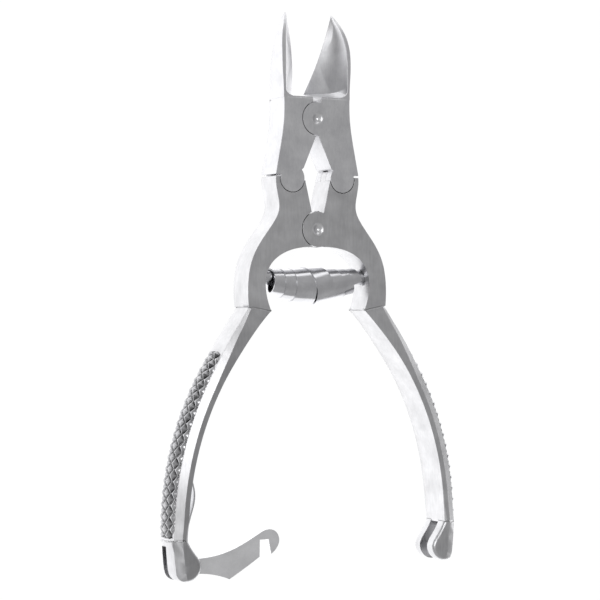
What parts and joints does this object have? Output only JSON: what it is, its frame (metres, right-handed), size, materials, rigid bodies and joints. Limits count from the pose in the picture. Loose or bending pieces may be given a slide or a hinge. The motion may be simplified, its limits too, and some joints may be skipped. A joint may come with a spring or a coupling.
{
  "type": "nail nipper",
  "caption": "Double-action nail nipper standing open: hollow-ground jaws on a compound joint, bowed handles with knurled grips, a barrel spring between them and a swing-over lock strap.",
  "frame": {"origin": "where the handle pivot's axis meets the joint's back face, on the plain end of the handle pivot pin", "axes": "+X to the right handle, +Y towards the jaw tips, +Z out of the front face, which is the side of the hollow grinding; the nipper lies flat with its back face down"},
  "size_m": [0.0834, 0.1394, 0.0112],
  "materials": {
    "satin_steel": "satin ground stainless steel",
    "spring_steel": "bright rolled spring steel"
  },
  "bodies": {
    "left_half": {"left_handle": "satin_steel", "left_spring_stud": "spring_steel", "barrel_spring": "spring_steel", "strap_pivot_pin": "satin_steel", "strap_leaf_spring": "spring_steel", "leaf_spring_rivet": "satin_steel"},
    "right_half": {"right_handle": "satin_steel", "handle_pivot_pin": "satin_steel", "right_spring_stud": "spring_steel", "catch_pin": "satin_steel"},
    "left_jaw_body": {"left_jaw": "satin_steel", "left_knuckle_pin": "satin_steel"},
    "right_jaw_body": {"right_jaw": "satin_steel", "jaw_pivot_pin": "satin_steel", "right_knuckle_pin": "satin_steel"},
    "strap_body": {"lock_strap": "satin_steel"}
  },
  "joints": [
    {"name": "handle_pivot", "type": "hinge", "parent": "left_half", "child": "right_half", "pos_m": [0, 0, 0.00375], "axis": [0, 0, -1], "range_deg": [0, 33.9], "stiffness_Nm_per_rad": 0.3, "springref_deg": -20.05, "deforming": ["barrel_spring"]},
    {"name": "left_knuckle", "type": "hinge", "parent": "left_half", "child": "left_jaw_body", "pos_m": [-0.0072, 0.0126, 0.00375], "axis": [0, 0, -1], "range_deg": [0, 31]},
    {"name": "jaw_pivot", "type": "hinge", "parent": "left_jaw_body", "child": "right_jaw_body", "pos_m": [0, 0.0276, 0.00375], "axis": [0, 0, 1], "range_deg": [0, 28]},
    {"name": "strap_pivot", "type": "hinge", "parent": "left_half", "child": "strap_body", "pos_m": [-0.0372, -0.0819, 0.00375], "axis": [0, 0, 1], "range_deg": [-27.2, 12]}
  ],
  "couplings": [
    {"joint": "left_knuckle", "follows": "handle_pivot", "ratio": 0.9088},
    {"joint": "jaw_pivot", "follows": "handle_pivot", "ratio": 0.8175}
  ]
}
